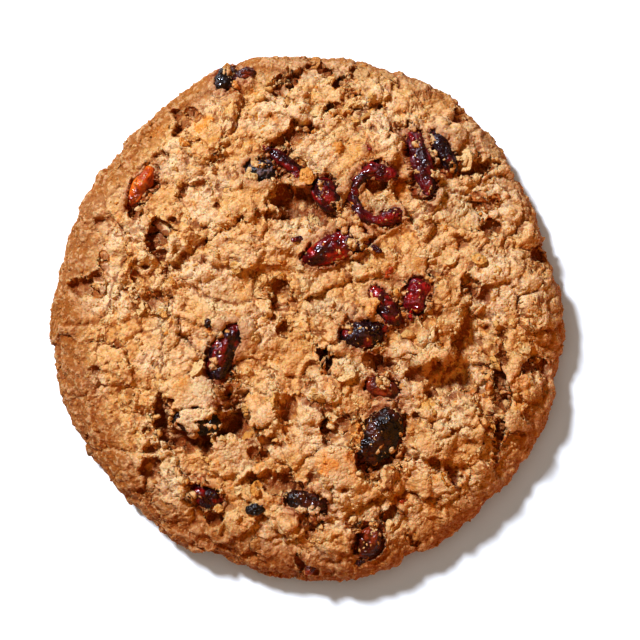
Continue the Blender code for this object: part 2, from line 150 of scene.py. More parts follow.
# Lumps of dough baked onto the fruit: east, north, radius, and how far they stand above it.
CAPS = (
    (-20.9, -16.4, 3.6, 1.1), (-17.2, -16.6, 3.4, 1.1), (-23, -17.8, 1.8, 0.7), (-19.4, -19.8, 1.3, 0.6),
    (-16, -19.6, 1.2, 0.6), (-0.9, -32.6, 1.3, 0.6), (0.9, -33.6, 1.1, 0.6), (-9.8, 23.6, 1.5, 0.6),
    (-6.9, 25.8, 1.2, 0.6), (-8.8, 26.4, 1.1, 0.5), (11, 1.4, 2.1, 0.7), (8.8, -18.8, 2.8, 1.2),
    (8.6, -22.4, 2.6, 1.2), (10.8, -17.4, 1.6, 0.6), (12.5, -10.8, 1.7, 0.7), (9.4, 13.2, 1.6, 0.6),
    (7.4, 11.2, 1.1, 0.5), (6, 14.6, 0.9, 0.3), (21.6, 24.2, 1.5, 0.6), (21.6, 27.8, 1, 0.5),
    (-13.9, 42.9, 0.9, 0.3), (-26.4, 25.8, 1.4, 0.6), (11.2, -36.6, 1.3, 0.6), (14.9, 17.4, 1, 0.5),
    (-14.8, -3.4, 1.2, 0.5), (-3.2, 26.2, 0.9, 0.4), (2, 22.6, 1.2, 0.6), (-17.6, -29.8, 1.4, 0.6),
    (-19, -31.4, 2, 0.9), (-15.3, -30.2, 1.3, 0.6), (-16, -32.3, 1.2, 0.5), (-12.1, -10.2, 1.3, 0.5),
    (-16.3, -8.4, 1.9, 0.8), (4.9, 18.8, 1.8, 0.8), (1.5, 18.4, 1, 0.4), (16.6, 4.8, 1.1, 0.4),
    (20.5, 1.4, 1.1, 0.5), (20.9, 21.2, 1.1, 0.5), (18.4, 30, 1.1, 0.5), (25.2, 25.4, 1.4, 0.6),
    (22, 30.6, 1.1, 0.5), (-0.4, 9.9, 1.1, 0.5), (10.4, 12.4, 1.3, 0.5), (9.6, -40.9, 1.2, 0.5),
    (6.8, -1.6, 1.3, 0.6), (12, -5.5, 1.2, 0.5), (15.8, -17.2, 1.2, 0.5), (14.8, -24.4, 1.3, 0.5),
    (-12.5, 40, 1.1, 0.5), (8.9, 15, 1.2, 0.4), (-5.8, 28, 0.9, 0.4), (-1.4, 24.5, 1, 0.4),
    (-2.8, -30.4, 1.1, 0.5), (3.2, -31.6, 1.1, 0.4), (-28.9, 19.8, 1.1, 0.5),
)

# Where flour shows pale and, in broad spots on the lower slopes, painted light lightens the dough; where
# butter baked golden; and where juice from the fruit browned the dough and painted shade darkens the
# shaded hollows beside it: east, north, radius, strength.
# Flour spots, and broad pale spots on the lower slopes that are painted light.
FLOUR_AND_LIGHT = (
    (25, 20, 6, 0.9), (26, 0, 5, 0.5), (2, 1, 5, 0.6), (-17, -12, 4, 1), (8, -9, 3.5, 0.9),
    (12.3, 19.3, 3, 1), (-13.8, -16.5, 2.2, 1), (1, 7, 5, 0.6), (20.5, -4.5, 3, 0.8), (-15, 3, 5, 0.6),
    (-3, 14, 3, 0.6), (21, 10, 3, 0.6), (-24, 14, 3, 0.5), (-20, -17.5, 4, 0.8), (-0.5, -33, 2, 0.9),
    (14, 31, 3.5, 0.5), (18, -9, 4, 0.6), (-24, -25, 6, 0.5), (-11, -25, 5, 0.5), (24, -20, 6, 0.5),
    (18, -33, 5, 0.4),
)
GOLDEN = (
    (3, -25.5, 3, 0.9), (8, -25.5, 2.5, 0.9), (-18, 34, 2.5, 0.9), (36.5, -10.5, 3, 0.6),
    (-23, -1.7, 1.6, 0.9), (16, -31.5, 1.8, 0.9), (-12, 39.5, 1.6, 1), (9.2, -19.8, 2.8, 0.9),
    (-17, -2.5, 1.8, 0.9), (11, 1.4, 1.9, 0.8), (16.5, 22.5, 2.5, 0.8), (-30, 11, 2.5, 0.6),
    (3.5, -12, 2.5, 0.6), (-4, 5.5, 2, 0.6), (31, -13, 2.5, 0.6), (-26, 33, 3, 0.6), (-9, -15, 3, 0.6),
)
# Juice stains, and spots of painted shade in the shaded moats and valleys beside the fruit and in the broad
# valley east of the middle.
JUICE_AND_SHADE = (
    (-13.6, -14.5, 3.8, 0.9), (-20, -20.8, 3.4, 0.8), (-24.8, -17, 2.6, 0.7), (-14.2, -9, 2.4, 0.7),
    (2.5, 18.8, 4.4, 0.9), (-3.5, 19.2, 3.2, 0.6), (10.6, 22.6, 2, 1), (12, -7.8, 3.2, 0.8),
    (4.5, -7, 2.8, 0.6), (10.5, -25.2, 3.6, 0.8), (15, -24, 2.6, 0.7), (14.6, 5.8, 2, 0.6),
    (17.8, -0.6, 1.8, 0.6), (-11.2, 41.6, 2.8, 0.9), (-13, 38.6, 2.2, 0.7), (10.4, 28.6, 1.6, 0.9),
    (-29.8, 20.4, 2.4, 0.7), (25.5, -3.5, 6, 0.35), (11.6, -41, 2.6, 0.7), (-17, -32.4, 2.2, 0.6),
    (0, -36.2, 2.6, 0.6),
)


def smooth_step(share):
    share = np.clip(share, 0.0, 1.0)
    return share * share * (3.0 - 2.0 * share)


def mesh_points(mesh):
    flat = np.empty(len(mesh.vertices) * 3, np.float32)
    mesh.vertices.foreach_get("co", flat)
    return flat.reshape(-1, 3).astype(float)


def edge_reach(bearings):
    """Distance from the centre to the edge in millimetres, read from the solid's widest line."""
    points = mesh_points(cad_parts["dough"].data) / MM
    points = points[np.abs(points[:, 2] - WIDEST_HEIGHT) < 0.02]
    angles = np.arctan2(points[:, 1], points[:, 0])
    return np.interp(bearings, angles, np.hypot(points[:, 0], points[:, 1]), period=2 * math.pi)


def dome_height(share):
    rise = np.clip(1.0 - np.clip(share, 0.0, 1.0) ** DOME_POWER, 0.0, 1.0) ** (1.0 / EDGE_POWER)
    return WIDEST_HEIGHT + (CROWN_HEIGHT - WIDEST_HEIGHT) * rise


def stray(east, north, period, reach):
    """Places moved about by a smooth random amount, so that what is drawn from them runs ragged."""
    pushes = np.array([noise.noise_vector((x, y, 0.0)) for x, y in zip(east / period, north / period)])
    return east + reach * pushes[:, 0], north + reach * pushes[:, 1]


def spots(east, north, places):
    """How strongly each place is covered by soft round spots."""
    cover = np.zeros(east.shape)
    for spot_east, spot_north, radius, strength in places:
        near = 1.5 * (1.0 - np.hypot(east - spot_east, north - spot_north) / radius)
        cover = np.maximum(cover, strength * smooth_step(near))
    return cover


def crack_depth(east, north, width, depth, points):
    """How far one crack sinks the top: a cliff on the side of the light and a ramp on the far side."""
    corners = np.reshape(points, (-1, 2))
    runs = np.linalg.norm(np.diff(corners, axis=0), axis=1)
    gap, along, lee = np.full(east.shape, np.inf), np.zeros(east.shape), np.zeros(east.shape)
    before = 0.0
    for start, end, run in zip(corners[:-1], corners[1:], runs):
        step = (end - start) / run
        travel = np.clip((east - start[0]) * step[0] + (north - start[1]) * step[1], 0.0, run)
        off_east, off_north = east - start[0] - travel * step[0], north - start[1] - travel * step[1]
        away = np.hypot(off_east, off_north)
        closer = away < gap
        gap = np.where(closer, away, gap)
        along = np.where(closer, (before + travel) / runs.sum(), along)
        downwind = (off_east * LEE_EAST + off_north * LEE_NORTH) / np.maximum(away, 0.01)
        lee = np.where(closer, np.maximum(downwind, 0.0), lee)
        before += run
    taper = np.clip(4.0 * along * (1.0 - along), 0.0, 1.0) ** 0.35
    ramp = (RAMP_LEAST + RAMP_SHARE * width) * lee * taper
    wall = WALL_LEAST + WALL_SHARE * width + ramp
    return depth * taper * (1.0 - smooth_step((gap - 0.5 * width * taper - ramp + wall) / wall)) ** 1.3


def large_relief(east, north):
    """How far mounds and cracks lift or sink the top, in millimetres."""
    height, sunk = np.zeros(east.shape), np.zeros(east.shape)
    for mound_east, mound_north, radius, rise in MOUNDS:
        near = 1.0 - np.hypot(east - mound_east, north - mound_north) / radius
        height += MOUND_GAIN * rise * smooth_step(near * 1.6)
    for width, depth, *points in CRACKS:
        sunk = np.maximum(sunk, crack_depth(east, north, width, depth, points))
    return height - sunk


def fruit_cover(east, north):
    """Height of the fruit above each place, or -inf, and how far each place is outside or inside it."""
    top = np.full(east.shape, -np.inf)
    outside, inside = np.full(east.shape, np.inf), np.zeros(east.shape)
    for name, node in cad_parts.items():
        if name == "dough":
            continue
        fruit = mesh_points(node.data) / MM
        tree = BVHTree.FromPolygons(fruit.tolist(), [tuple(face.vertices) for face in node.data.polygons])
        low, high = fruit.min(axis=0) - BED_REACH, fruit.max(axis=0) + BED_REACH
        near = np.flatnonzero((east > low[0]) & (east < high[0]) & (north > low[1]) & (north < high[1]))
        hits = [tree.ray_cast((east[place], north[place], 40.0), (0.0, 0.0, -1.0))[0] for place in near]
        covered = np.array([hit is not None for hit in hits])
        under, beside = near[covered], near[~covered]
        top[under] = np.maximum(top[under], [hit[2] for hit in hits if hit is not None])
        apart = np.hypot(east[under][:, None] - east[beside], north[under][:, None] - north[beside])
        inside[under] = np.maximum(inside[under], apart.min(axis=1))
        outside[beside] = np.minimum(outside[beside], apart.min(axis=0))
        outside[under] = 0.0
    return top, outside, inside


def dough_rings():
    """Bearing, share of the reach and turn under the edge for each vertex, on rings of 6, 12, 18..."""
    shares = np.linspace(0.0, 1.0, 4000)
    turns = np.linspace(0.0, 0.5 * math.pi, 400)[1:]
    middle = float(np.mean(edge_reach(np.linspace(0.0, 2 * math.pi, 360))))
    out = np.concatenate([middle * shares, middle - UNDERCUT * (1.0 - np.cos(turns))])
    up = np.concatenate([dome_height(shares), WIDEST_HEIGHT * (1.0 - np.sin(turns))])
    lengths = np.concatenate([[0.0], np.cumsum(np.hypot(np.diff(out), np.diff(up)))])
    wanted = np.linspace(0.0, lengths[-1], RINGS + 1)
    ring_shares = np.interp(wanted, lengths, np.concatenate([shares, np.ones(len(turns))]))
    ring_turns = np.interp(wanted, lengths, np.concatenate([np.zeros(len(shares)), turns]))
    counts = np.maximum(6 * np.arange(RINGS + 1), 1)
    ring_of = np.repeat(np.arange(RINGS + 1), counts)
    step = np.arange(len(ring_of)) - np.repeat(np.cumsum(counts) - counts, counts)
    bearings = 2 * math.pi * step / counts[ring_of]
    return bearings, ring_shares[ring_of], ring_turns[ring_of], counts


def stitch(inner, outer):
    """Triangles between two rings of vertex numbers that run the same way round."""
    faces, low, high = [], 0, 0
    while low < len(inner) or high < len(outer):
        if (low + 0.5) / len(inner) < (high + 0.5) / len(outer) and low < len(inner) and len(inner) > 1:
            faces.append((inner[low % len(inner)], outer[high % len(outer)], inner[(low + 1) % len(inner)]))
            low += 1
        elif high < len(outer):
            faces.append((inner[low % len(inner)], outer[high % len(outer)], outer[(high + 1) % len(outer)]))
            high += 1
        else:
            low = len(inner)
    return faces


def fitted_to_fruit(height, craggy, dome, turns, east, north):
    """Fits the top to the fruit: a bed under it, a lip round it, and ragged dough that laps over it."""
    top, gap, inside_fruit = fruit_cover(east, north)
    under = (top > 0.0) & (turns == 0.0)
    patch_east, patch_north = stray(east, north, *RAGGED_LAP)
    lip = LIP_HEIGHT * np.exp(-(((gap - LIP_GAP) / LIP_WIDTH) ** 2))
    height = height + lip * (0.7 + 0.7 * (patch_east - east))
    lap = LAP_REACH + LAP_RAGGED * (patch_north - north)
    covered = smooth_step((lap - inside_fruit) / LAP_BLEND + 0.5)
    lapped = np.minimum(np.maximum(height, top + LAP_THINNEST), top + LAP_THICKEST)
    lapped = np.where(dome < WIDEST_HEIGHT + RIM_RISE, np.minimum(height, top + RIM_LAP), lapped)
    bed = np.minimum(height, top - BED_CLEARANCE)
    height = np.where(under, bed + covered * (lapped - bed), height)
    craggy = np.where(under, (0.15 + 0.35 * covered) * craggy, craggy)
    return height, craggy, top, gap, under


def capped(height, craggy, top, under, east, north):
    """Raises lumps of dough on the fruit, and tells how fully each place lies under one of them."""
    clean = np.zeros(east.shape)
    for cap_east, cap_north, radius, rise in CAPS:
        near = smooth_step(1.8 * (1.0 - np.hypot(east - cap_east, north - cap_north) / radius))
        wanted = np.minimum(np.where(under, top, height) + CAP_GAIN * rise, np.maximum(height, HIGHEST_CAP))
        height = height + near * (wanted - height)
        craggy = np.where(under, np.maximum(craggy, near), craggy)
        clean = np.maximum(clean, near)
    return height, craggy, clean


def closed(points, counts):
    """All points and faces, once the rings of the top are joined and the flat underside is added."""
    starts = np.cumsum(counts) - counts
    rings = [list(range(start, start + count)) for start, count in zip(starts, counts)]
    faces = []
    for inner, outer in zip(rings[:-1], rings[1:]):
        faces += stitch(inner, outer)
    last = rings[-1]
    for share, count in UNDER_RINGS:
        angles = 2 * math.pi * (np.arange(count) + 0.25) / count
        edge = (edge_reach(angles) - UNDERCUT) * share
        numbers = list(range(len(points), len(points) + count))
        ring = np.stack([edge * np.cos(angles), edge * np.sin(angles), 0 * edge], axis=1)
        points = np.concatenate([points, ring])
        faces += [tuple(reversed(face)) for face in stitch(numbers, last)]
        last = numbers
    return points, faces


def dough_mesh():
    """The whole dough, closed, with the mounds and cracks, and what later steps need as attributes."""
    bearings, shares, turns, counts = dough_rings()
    out = edge_reach(bearings) * shares - UNDERCUT * (1.0 - np.cos(turns))
    east, north = out * np.cos(bearings), out * np.sin(bearings)
    dome = np.where(turns > 0.0, WIDEST_HEIGHT * (1.0 - np.sin(turns)), dome_height(shares))
    bare = smooth_step(dome / BARE_HEIGHT)
    widest = 0.5 + 0.5 * np.cos(bearings - SMOOTH_SIDE)
    inside = smooth_step((RIM_START - RIM_WIDER * widest - shares) / (RIM_BLEND + RIM_SOFTER * widest))
    craggy = bare * (0.5 + 0.5 * inside)

    ragged = stray(*stray(east, north, *RAGGED_LARGE), *RAGGED_SMALL)
    height = dome + smooth_step((dome - WIDEST_HEIGHT) / RELIEF_FADE) * large_relief(*ragged)
    height, craggy, top, gap, under = fitted_to_fruit(height, craggy, dome, turns, east, north)
    above = np.maximum(height - dome - 0.6 * HIGHEST_LUMP, 0.0)
    height += 0.4 * HIGHEST_LUMP * (1.0 - np.exp(-above / (0.4 * HIGHEST_LUMP))) - above
    height, craggy, clean = capped(height, craggy, top, under, *ragged)

    points, faces = closed(np.stack([east, north, height], axis=1), counts)
    mesh = bpy.data.meshes.new("dough_baked")
    mesh.from_pydata((points * MM).tolist(), [], faces)
    # Darker brown round each fruit from its juice; the listed spots joined to it below add juice stain and
    # painted shade.
    stain = np.exp(-gap / STAIN_REACH) * (1.0 - 0.85 * clean)
    toasted = smooth_step((shares - BROWN_START + BROWN_WIDER * widest) / BROWN_BLEND)
    # The pale flour note is partly painted light.
    noted = {
        "craggy": craggy, "bare": bare, "relief": height - dome,
        "floury": spots(*ragged, FLOUR_AND_LIGHT), "golden": spots(*ragged, GOLDEN),
        "stain_and_shade": np.maximum(stain, spots(*ragged, JUICE_AND_SHADE)),
        "toasted": toasted * (0.6 + 0.4 * widest),
    }
    for name, values in noted.items():
        padded = np.zeros(len(points), np.float32)
        padded[: len(values)] = values
        mesh.attributes.new(name, "FLOAT", "POINT").data.foreach_set("value", padded)
    mesh.shade_smooth()
    return mesh


MATH, VECTOR_MATH = "ShaderNodeMath", "ShaderNodeVectorMath"
NOISE, MAP_RANGE = "ShaderNodeTexNoise", "ShaderNodeMapRange"
NOTED, NOTE = "GeometryNodeInputNamedAttribute", "GeometryNodeStoreNamedAttribute"


def add(tree, kind, inputs=None, **settings):
    """Adds a node with its settings, and sets each input to a value or links it to a node or socket."""
    node = tree.nodes.new(kind)
    for name, value in settings.items():
        setattr(node, name, value)
    for name, value in (inputs or {}).items():
        if isinstance(value, bpy.types.Node):
            value = next(socket for socket in value.outputs if socket.enabled)
        if isinstance(value, bpy.types.NodeSocket):
            tree.links.new(value, node.inputs[name])
        else:
            node.inputs[name].default_value = value
    return node


def colour(text):
    """A linear colour from an sRGB hex value."""
    parts = [int(text[place:place + 2], 16) / 255 for place in (1, 3, 5)]
    return [part / 12.92 if part <= 0.04045 else ((part + 0.055) / 1.055) ** 2.4 for part in parts] + [1.0]


def geometry_tree(name, sizes):
    """A Geometry Nodes tree with a geometry input and output and a named input for each size."""
    tree = bpy.data.node_groups.new(name, "GeometryNodeTree")
    tree.interface.new_socket("Geometry", in_out="INPUT", socket_type="NodeSocketGeometry")
    tree.interface.new_socket("Geometry", in_out="OUTPUT", socket_type="NodeSocketGeometry")
    tree.interface.new_socket("Material", in_out="INPUT", socket_type="NodeSocketMaterial")
    for size in sizes:
        tree.interface.new_socket(size, in_out="INPUT", socket_type="NodeSocketFloat")
    return tree, add(tree, "NodeGroupInput").outputs


def finish_tree(tree, given, shape):
    """Ends a tree with plain geometry that carries the material it was given."""
    solid = add(tree, "GeometryNodeRealizeInstances", {"Geometry": shape})
    coated_solid = add(tree, "GeometryNodeSetMaterial", {"Geometry": solid, "Material": given["Material"]})
    add(tree, "NodeGroupOutput", {"Geometry": coated_solid})


def applied(mesh, kind, settings, inputs):
    """The plain mesh that one modifier makes from a mesh."""
    worker = bpy.data.objects.new("worker", mesh)
    scene.collection.objects.link(worker)
    modifier = worker.modifiers.new("maker", kind)
    for name, value in settings.items():
        setattr(modifier, name, value)
    for socket, value in inputs.items():
        modifier[socket] = value
    made = bpy.data.meshes.new_from_object(worker.evaluated_get(bpy.context.evaluated_depsgraph_get()))
    bpy.data.objects.remove(worker)
    return made


def shaped(name, mesh, tree, sizes, material):
    """A new object at the origin with the plain mesh that a Geometry Nodes tree makes from a mesh."""
    inputs = {}
    for item in tree.interface.items_tree:
        if item.in_out == "INPUT" and item.name in sizes:
            inputs[item.identifier] = float(sizes[item.name])
        if item.in_out == "INPUT" and item.name == "Material":
            inputs[item.identifier] = material
    made = applied(mesh, "NODES", {"node_group": tree}, inputs)
    made.name = name
    piece = bpy.data.objects.new(name, made)
    scene.collection.objects.link(piece)
    return piece


def wander(tree, place, period, reach, seed):
    """Moves places about by a smooth random amount, so that borders drawn from them run ragged."""
    offset = add(tree, VECTOR_MATH, {0: place, 1: (seed, 2 * seed, 3 * seed)})
    cloud = add(tree, NOISE, {"Vector": offset, "Scale": 1.0 / period, "Detail": 2.0})
    push = add(tree, VECTOR_MATH, {0: cloud.outputs["Color"], 1: (0.5, 0.5, 0.5)}, operation="SUBTRACT")
    return add(tree, VECTOR_MATH, {0: push, 1: (reach, reach, reach), 2: place}, operation="MULTIPLY_ADD")


def layer(tree, pattern, middle, height, under=0.0):
    """A pattern centred on its middle and scaled to its height, laid on what is under it."""
    centred = add(tree, MATH, {0: pattern, 1: middle}, operation="SUBTRACT")
    return add(tree, MATH, {0: centred, 1: height, 2: under}, operation="MULTIPLY_ADD")


def plates(tree, place, cell, step, tilt, border, depth):
    """Height of tilted plates of one size, with a groove along their borders."""
    density = add(tree, MATH, {0: 1.0, 1: cell}, operation="DIVIDE")
    cells = add(tree, "ShaderNodeTexVoronoi", {"Vector": place, "Scale": density, "Randomness": 0.95})
    edges = add(tree, "ShaderNodeTexVoronoi", {"Vector": place, "Scale": density, "Randomness": 0.95},
                feature="DISTANCE_TO_EDGE")
    lean = add(tree, VECTOR_MATH, {0: cells.outputs["Color"], 1: (0.5, 0.5, 0.5)}, operation="SUBTRACT")
    apart = add(tree, VECTOR_MATH, {0: place, 1: cells.outputs["Position"]}, operation="SUBTRACT")
    slope = add(tree, VECTOR_MATH, {0: lean, 1: apart}, operation="DOT_PRODUCT")
    level = add(tree, "ShaderNodeSeparateXYZ", {0: lean})
    top = add(tree, MATH, {0: level.outputs["Z"], 1: step}, operation="MULTIPLY")
    top = add(tree, MATH, {0: slope, 1: tilt, 2: top}, operation="MULTIPLY_ADD")
    away = add(tree, MATH, {0: edges.outputs["Distance"], 1: cell}, operation="MULTIPLY")
    groove = add(tree, MAP_RANGE, {"Value": away, "From Max": border},
                 interpolation_type="SMOOTHSTEP")
    return layer(tree, groove, 1.0, depth, top)


def chips(tree, place, period, levels, height):
    """Height of flat chips with steep ragged sides: a random hill cut into level steps."""
    hill = add(tree, NOISE, {
        "Vector": place, "Scale": 1.0 / period, "Detail": 4.0, "Roughness": 0.55})
    tall = add(tree, MATH, {0: hill, 1: levels}, operation="MULTIPLY")
    whole = add(tree, MATH, {0: tall}, operation="FLOOR")
    rest = add(tree, MATH, {0: tall}, operation="FRACT")
    side = add(tree, MAP_RANGE, {"Value": rest, "From Min": 0.66, "From Max": 0.98},
               interpolation_type="SMOOTHSTEP")
    return layer(tree, add(tree, MATH, {0: whole, 1: side}), 0.5 * levels, height)


def packed(tree, place, size, least):
    """Rounded crumbs packed side by side, from 0 in the creases to 1, each with its own height."""
    cells = add(tree, "ShaderNodeTexVoronoi", {"Vector": place, "Scale": 1.0 / size})
    level = add(tree, "ShaderNodeSeparateXYZ", {0: cells.outputs["Color"]})
    tall = add(tree, MAP_RANGE, {"Value": level.outputs["X"], "To Min": least})
    fall = add(tree, MATH, {0: cells.outputs["Distance"], 1: 2.0}, operation="POWER")
    fall = add(tree, MATH, {0: fall, 1: -1.4, 2: 1.0}, operation="MULTIPLY_ADD")
    return add(tree, MATH, {0: fall, 1: tall}, operation="MULTIPLY")


def broken_plates(tree, size, place, ragged):
    """The large relief of the baked top: swells, plates, scales, clumps and chips."""
    loose = wander(tree, place, period=7.0, reach=5.0, seed=3.0)
    loose = wander(tree, loose, period=1.8, reach=1.7, seed=7.0)
    curdled = wander(tree, place, period=3.0, reach=2.4, seed=9.0)
    curdled = wander(tree, curdled, period=1.1, reach=1.0, seed=4.0)
    large = plates(tree, loose, size["Plate Size"], size["Plate Step"], size["Plate Tilt"],
                   border=0.5, depth=size["Crack Depth"])
    small = plates(tree, loose, size["Scale Size"], size["Scale Step"], size["Scale Tilt"],
                   border=0.35, depth=0.25)
    density = add(tree, MATH, {0: 1.0, 1: size["Swell Size"]}, operation="DIVIDE")
    swell = add(tree, NOISE, {"Vector": place, "Scale": density, "Detail": 1.0})
    broken = layer(tree, swell, 0.5, size["Swell Height"], add(tree, MATH, {0: large, 1: small}))
    broken = layer(tree, packed(tree, curdled, size=3.0, least=0.1), 0.45, size["Clump Height"], broken)
    flat_chips = chips(tree, ragged, period=5.0, levels=9.0, height=size["Chip Height"])
    return add(tree, MATH, {0: broken, 1: flat_chips})


def crumble(tree, size, place, ragged, craggy, before):
    """The fine relief: patches of packed crumbs, larger in the hollows, over packed grains."""
    patchy = add(tree, NOISE, {"Vector": place, "Scale": 1.0 / 4.5, "Detail": 1.0})
    patchy = add(tree, MAP_RANGE, {
        "Value": patchy, "From Min": 0.4, "From Max": 0.58, "To Min": 0.25}, interpolation_type="SMOOTHSTEP")
    crumbly = add(tree, MAP_RANGE, {"Value": craggy, "To Min": 0.45})
    crumbly = add(tree, MATH, {0: crumbly, 1: patchy}, operation="MULTIPLY")
    gathered = add(tree, MAP_RANGE, {
        "Value": before, "From Min": -0.4, "From Max": -1.6, "To Min": 1.0, "To Max": 1.7})
    crumbly = add(tree, MATH, {0: crumbly, 1: gathered}, operation="MULTIPLY")
    crumbs = layer(tree, packed(tree, ragged, size=1.4, least=0.2), 0.5, size["Crumb Height"])
    grain = layer(tree, packed(tree, place, size=0.75, least=0.3), 0.5, size["Grain Height"])
    return add(tree, MATH, {0: crumbs, 1: crumbly, 2: grain}, operation="MULTIPLY_ADD")


def crag_tree():
    """Breaks the dome into tilted plates, chips and crumble, and notes how far each place is sunk."""
    sizes = {
        "Swell Size": 11.0, "Swell Height": 2.7, "Plate Size": 7.5, "Plate Step": 1.7, "Plate Tilt": 0.22,
        "Crack Depth": 0.5, "Scale Size": 3.4, "Scale Step": 0.5, "Scale Tilt": 0.2, "Clump Height": 1.1,
        "Chip Height": 0.18, "Crumb Height": 0.5, "Grain Height": 0.22, "Highest": HIGHEST_LUMP,
    }
    tree, size = geometry_tree("baked_crags", sizes)
    names = ("craggy", "bare", "relief")
    craggy, bare, before = (add(tree, NOTED, {"Name": name}).outputs["Attribute"] for name in names)
    normal = add(tree, "GeometryNodeInputNormal")
    place = add(tree, "GeometryNodeInputPosition")
    place = add(tree, VECTOR_MATH, {0: place, "Scale": 1.0 / MM}, operation="SCALE")
    ragged = wander(tree, place, period=1.0, reach=0.9, seed=5.0)
    broken = broken_plates(tree, size, place, ragged)
    broken = add(tree, MATH, {0: broken, 1: craggy}, operation="MULTIPLY")
    fine = crumble(tree, size, place, ragged, craggy, before)
    fine = add(tree, MATH, {0: fine, 1: bare}, operation="MULTIPLY")

    total = add(tree, MATH, {0: broken, 1: fine})
    total = add(tree, MATH, {0: total, 1: before})
    total = add(tree, MATH, {0: total, 1: size["Highest"], 2: 0.8}, operation="SMOOTH_MIN")
    rise = add(tree, MATH, {0: total, 1: before}, operation="SUBTRACT")
    rise_metres = add(tree, MATH, {0: rise, 1: MM}, operation="MULTIPLY")
    offset = add(tree, VECTOR_MATH, {0: normal, "Scale": rise_metres}, operation="SCALE")
    rough = add(tree, "GeometryNodeSetPosition", {"Geometry": size["Geometry"], "Offset": offset})
    rough = add(tree, NOTE, {"Geometry": rough, "Name": "relief", "Value": total})
    # Steepness of each face: besides thickening the crumbs on edges, it paints steep dough faces orange, a
    # painted glow of light through the crumb.
    up = add(tree, "ShaderNodeSeparateXYZ", {"Vector": add(tree, "GeometryNodeInputNormal")}).outputs["Z"]
    steep = add(tree, MATH, {0: 1.0, 1: up}, operation="SUBTRACT")
    steep = add(tree, "GeometryNodeBlurAttribute", {"Value": steep, "Iterations": 1})
    rough = add(tree, NOTE, {"Geometry": rough, "Name": "steep", "Value": steep})
    # How far each place lies below the blurred surface round it, at three widths: the materials turn it into
    # painted shade in pits, sunk places and hollows, and the dough's into a painted highlight on ridges.
    level = add(tree, NOTED, {"Name": "relief"}).outputs["Attribute"]
    for name, steps in (("pit", 5), ("sunk", 25), ("hollow", 90)):
        eased = add(tree, "GeometryNodeBlurAttribute", {"Value": level, "Iterations": steps})
        depth = add(tree, MATH, {0: eased, 1: level}, operation="SUBTRACT")
        rough = add(tree, NOTE, {"Geometry": rough, "Name": name, "Value": depth})
    finish_tree(tree, size, rough)
    return tree, sizes


def coated(tree, where, ground, coats):
    """A ground colour with coats laid over it, each by a noted attribute or by random patches."""
    skin = colour(ground)
    for source, low, high, paint, most in coats:
        if isinstance(source, str):
            share = add(tree, "ShaderNodeAttribute", attribute_name=source).outputs["Fac"]
        else:
            share = add(tree, NOISE, {"Vector": where, "Scale": 1.0 / (source * MM), "Detail": 1.5})
        share = add(tree, MAP_RANGE, {"Value": share, "From Min": low, "From Max": high, "To Max": most},
                    interpolation_type="SMOOTHSTEP")
        skin = add(tree, "ShaderNodeMix", {0: share, 6: skin, 7: colour(paint)}, data_type="RGBA").outputs[2]
    return skin


def sanded(tree, where, shader, depth):
    """Gives a shader the fine bump of sand that is packed side by side, its depth in millimetres."""
    in_mm = add(tree, VECTOR_MATH, {0: where, "Scale": 1.0 / MM}, operation="SCALE")
    sand = packed(tree, wander(tree, in_mm, period=0.6, reach=0.4, seed=2.0), size=0.52, least=0.3)
    grain = add(tree, "ShaderNodeBump", {"Height": sand, "Strength": 1.0, "Distance": depth * MM})
    tree.links.new(grain.outputs[0], shader.inputs["Normal"])


def coated_material(name, ground, coats, values):
    """A material with a coated base colour and even values: itself, its tree and shader, and its places."""
    made = bpy.data.materials.new(name)
    made.use_nodes = True
    tree = made.node_tree
    shader = tree.nodes["Principled BSDF"]
    where = add(tree, "ShaderNodeTexCoord").outputs["Object"]
    tree.links.new(coated(tree, where, ground, coats), shader.inputs["Base Color"])
    for socket, value in values.items():
        shader.inputs[socket].default_value = value
    return made, tree, shader, where


# Coats on the dough: the attribute or the patch width in mm, where the coat starts and where it is
# full, its colour, and the most that it hides of what is under it. The dark brown coats in pits, sunk
# places and hollows are painted shade, and the pale coat where "pit" falls below 0, on the ridges, is a
# painted highlight.
DOUGH_COATS = (
    (9.0, 0.4, 0.62, "#dcc29c", 1.0), (2.6, 0.56, 0.7, "#d29c4c", 0.5), (1.3, 0.58, 0.7, "#d28c34", 0.45),
    # The orange coat on steep faces is a painted glow of light shining through the crumb's edges.
    ("floury", 0.1, 1.0, "#d8c8a4", 0.7), ("steep", 0.25, 0.7, "#bc6c10", 0.8),
    ("golden", 0.1, 1.0, "#dc8e24", 0.75), ("toasted", 0.0, 1.0, "#9c5a14", 0.9),
    # The stain coat here is juice stain and painted shade.
    ("stain_and_shade", 0.2, 0.85, "#8c3410", 0.75), ("pit", 0.0, -0.14, "#e4c498", 0.4),
    ("hollow", 0.8, 2.4, "#904808", 0.7), ("sunk", 0.3, 1.0, "#843c04", 0.65),
    ("pit", 0.06, 0.25, "#8a4208", 0.5), (0.45, 0.5, 0.36, "#b07c3a", 0.3), (0.6, 0.58, 0.7, "#e2cca0", 0.3),
    (0.7, 0.68, 0.73, "#744418", 0.28),
)


def dough_material():
    """Baked oat dough: dry, sandy and light-scattering, pale where flour shows and in spots of painted light,
    with a painted glow on steep edges, painted shade in hollows and a painted highlight on ridges.
    """
    made, tree, shader, where = coated_material("baked_oat_dough", "#d2a66c", DOUGH_COATS, {
        "Roughness": 0.75, "Specular IOR Level": 0.25, "Subsurface Weight": 0.35,
        "Subsurface Radius": (1.0, 0.35, 0.12), "Subsurface Scale": 0.6 * MM,
    })
    sanded(tree, where, shader, depth=0.2)
    return made


crags, crag_sizes = crag_tree()
dough = shaped("dough_baked", dough_mesh(), crags, crag_sizes, dough_material())
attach(dough, "root")
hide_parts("dough")

